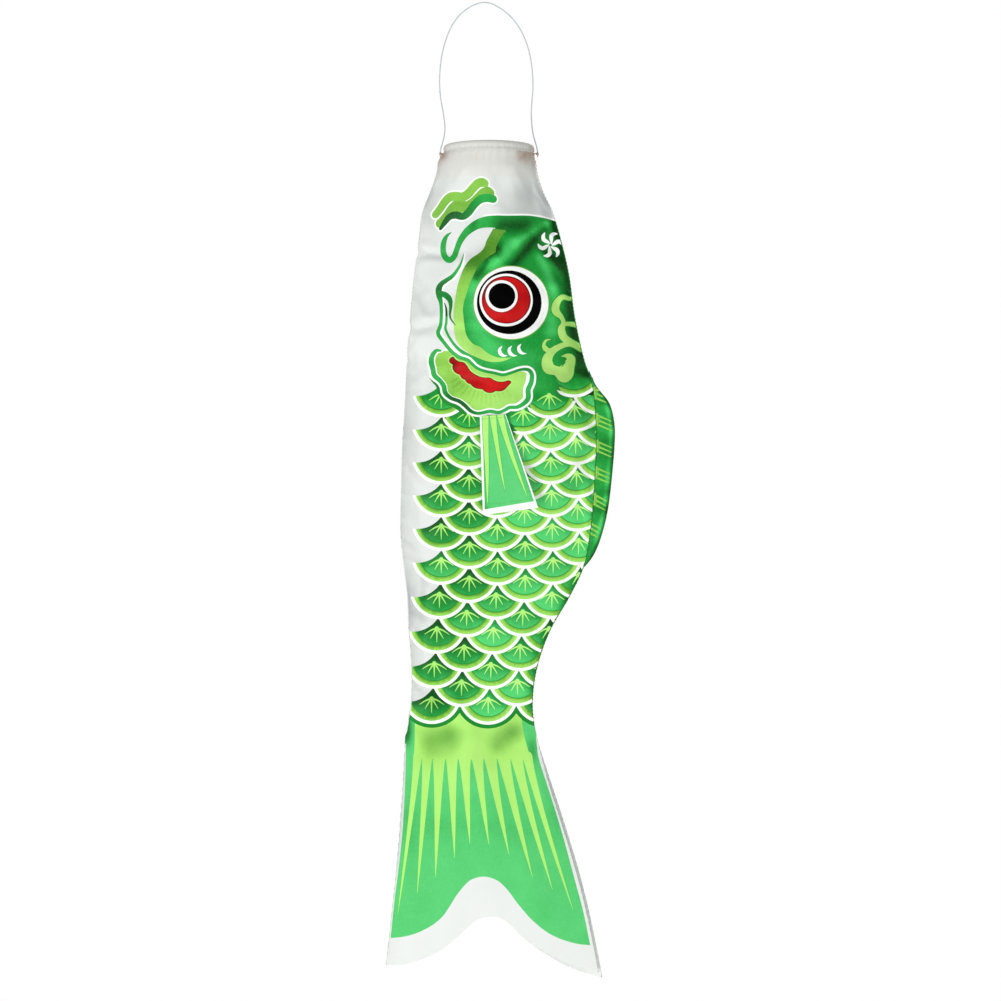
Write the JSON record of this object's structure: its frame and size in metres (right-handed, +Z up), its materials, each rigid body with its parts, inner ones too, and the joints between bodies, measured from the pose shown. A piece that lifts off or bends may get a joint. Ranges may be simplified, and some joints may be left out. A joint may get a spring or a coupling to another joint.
{
  "type": "carp streamer",
  "caption": "Carp-shaped satin wind streamer that hangs head up from a cord loop, with a hooped mouth, a back fin, side fins and two tail flaps.",
  "frame": {"origin": "inside top of the cord loop, the point that the streamer hangs by", "axes": "+Z up along the cord loop, -Z to the tail; +X to the carp's back, -X to its belly; -Y is the carp's left side, +Y its right side"},
  "size_m": [0.1925, 0.0786, 0.8209],
  "materials": {
    "printed_satin": "satin polyester printed in greens, white, red and black",
    "white_satin": "plain white satin, folded into a hem",
    "fin_satin": "printed satin fin, hemmed at its edges",
    "cord": "thin twisted white cord",
    "thread": "polyester sewing thread",
    "hoop_wire": "drawn steel wire",
    "sleeve_plastic": "translucent white tube"
  },
  "bodies": {
    "cord_loop": {"hanging_cord": "cord"},
    "carp_body": {"belly_cord_knot": "cord", "back_cord_knot": "cord", "mouth_hoop": "hoop_wire", "hoop_sleeve": "sleeve_plastic", "mouth_hem": "white_satin", "left_hem_thread": "thread", "right_hem_thread": "thread", "left_side_panel": "printed_satin", "right_side_panel": "printed_satin", "belly_seam_thread": "thread", "upper_back_seam_thread": "thread", "lower_back_seam_thread": "thread"},
    "back_fin": {"dorsal_fin": "fin_satin", "left_dorsal_thread": "thread", "right_dorsal_thread": "thread"},
    "left_fin": {"left_pectoral_fin": "fin_satin", "left_pectoral_thread": "thread"},
    "right_fin": {"right_pectoral_fin": "fin_satin", "right_pectoral_thread": "thread"},
    "left_tail": {"left_tail_panel": "printed_satin"},
    "right_tail": {"right_tail_panel": "printed_satin"}
  },
  "joints": [
    {"name": "loop_swing", "type": "hinge", "parent": "cord_loop", "child": "carp_body", "pos_m": [0, 0, -0.1266], "axis": [1, 0, 0], "range_deg": [-90, 90]},
    {"name": "back_fin_flap", "type": "hinge", "parent": "carp_body", "child": "back_fin", "pos_m": [0.0866, 0, -0.39], "axis": [0, 0, 1], "range_deg": [-45, 45]},
    {"name": "left_fin_lift", "type": "hinge", "parent": "carp_body", "child": "left_fin", "pos_m": [0.003, -0.0154, -0.346], "axis": [-1, 0, 0], "range_deg": [0, 75]},
    {"name": "right_fin_lift", "type": "hinge", "parent": "carp_body", "child": "right_fin", "pos_m": [0.003, 0.0154, -0.346], "axis": [1, 0, 0], "range_deg": [0, 75]},
    {"name": "left_tail_flap", "type": "hinge", "parent": "carp_body", "child": "left_tail", "pos_m": [-0.015, -0.0026, -0.615], "axis": [-1, 0, 0], "range_deg": [0, 60]},
    {"name": "right_tail_flap", "type": "hinge", "parent": "carp_body", "child": "right_tail", "pos_m": [-0.015, 0.0026, -0.615], "axis": [1, 0, 0], "range_deg": [0, 60]}
  ]
}
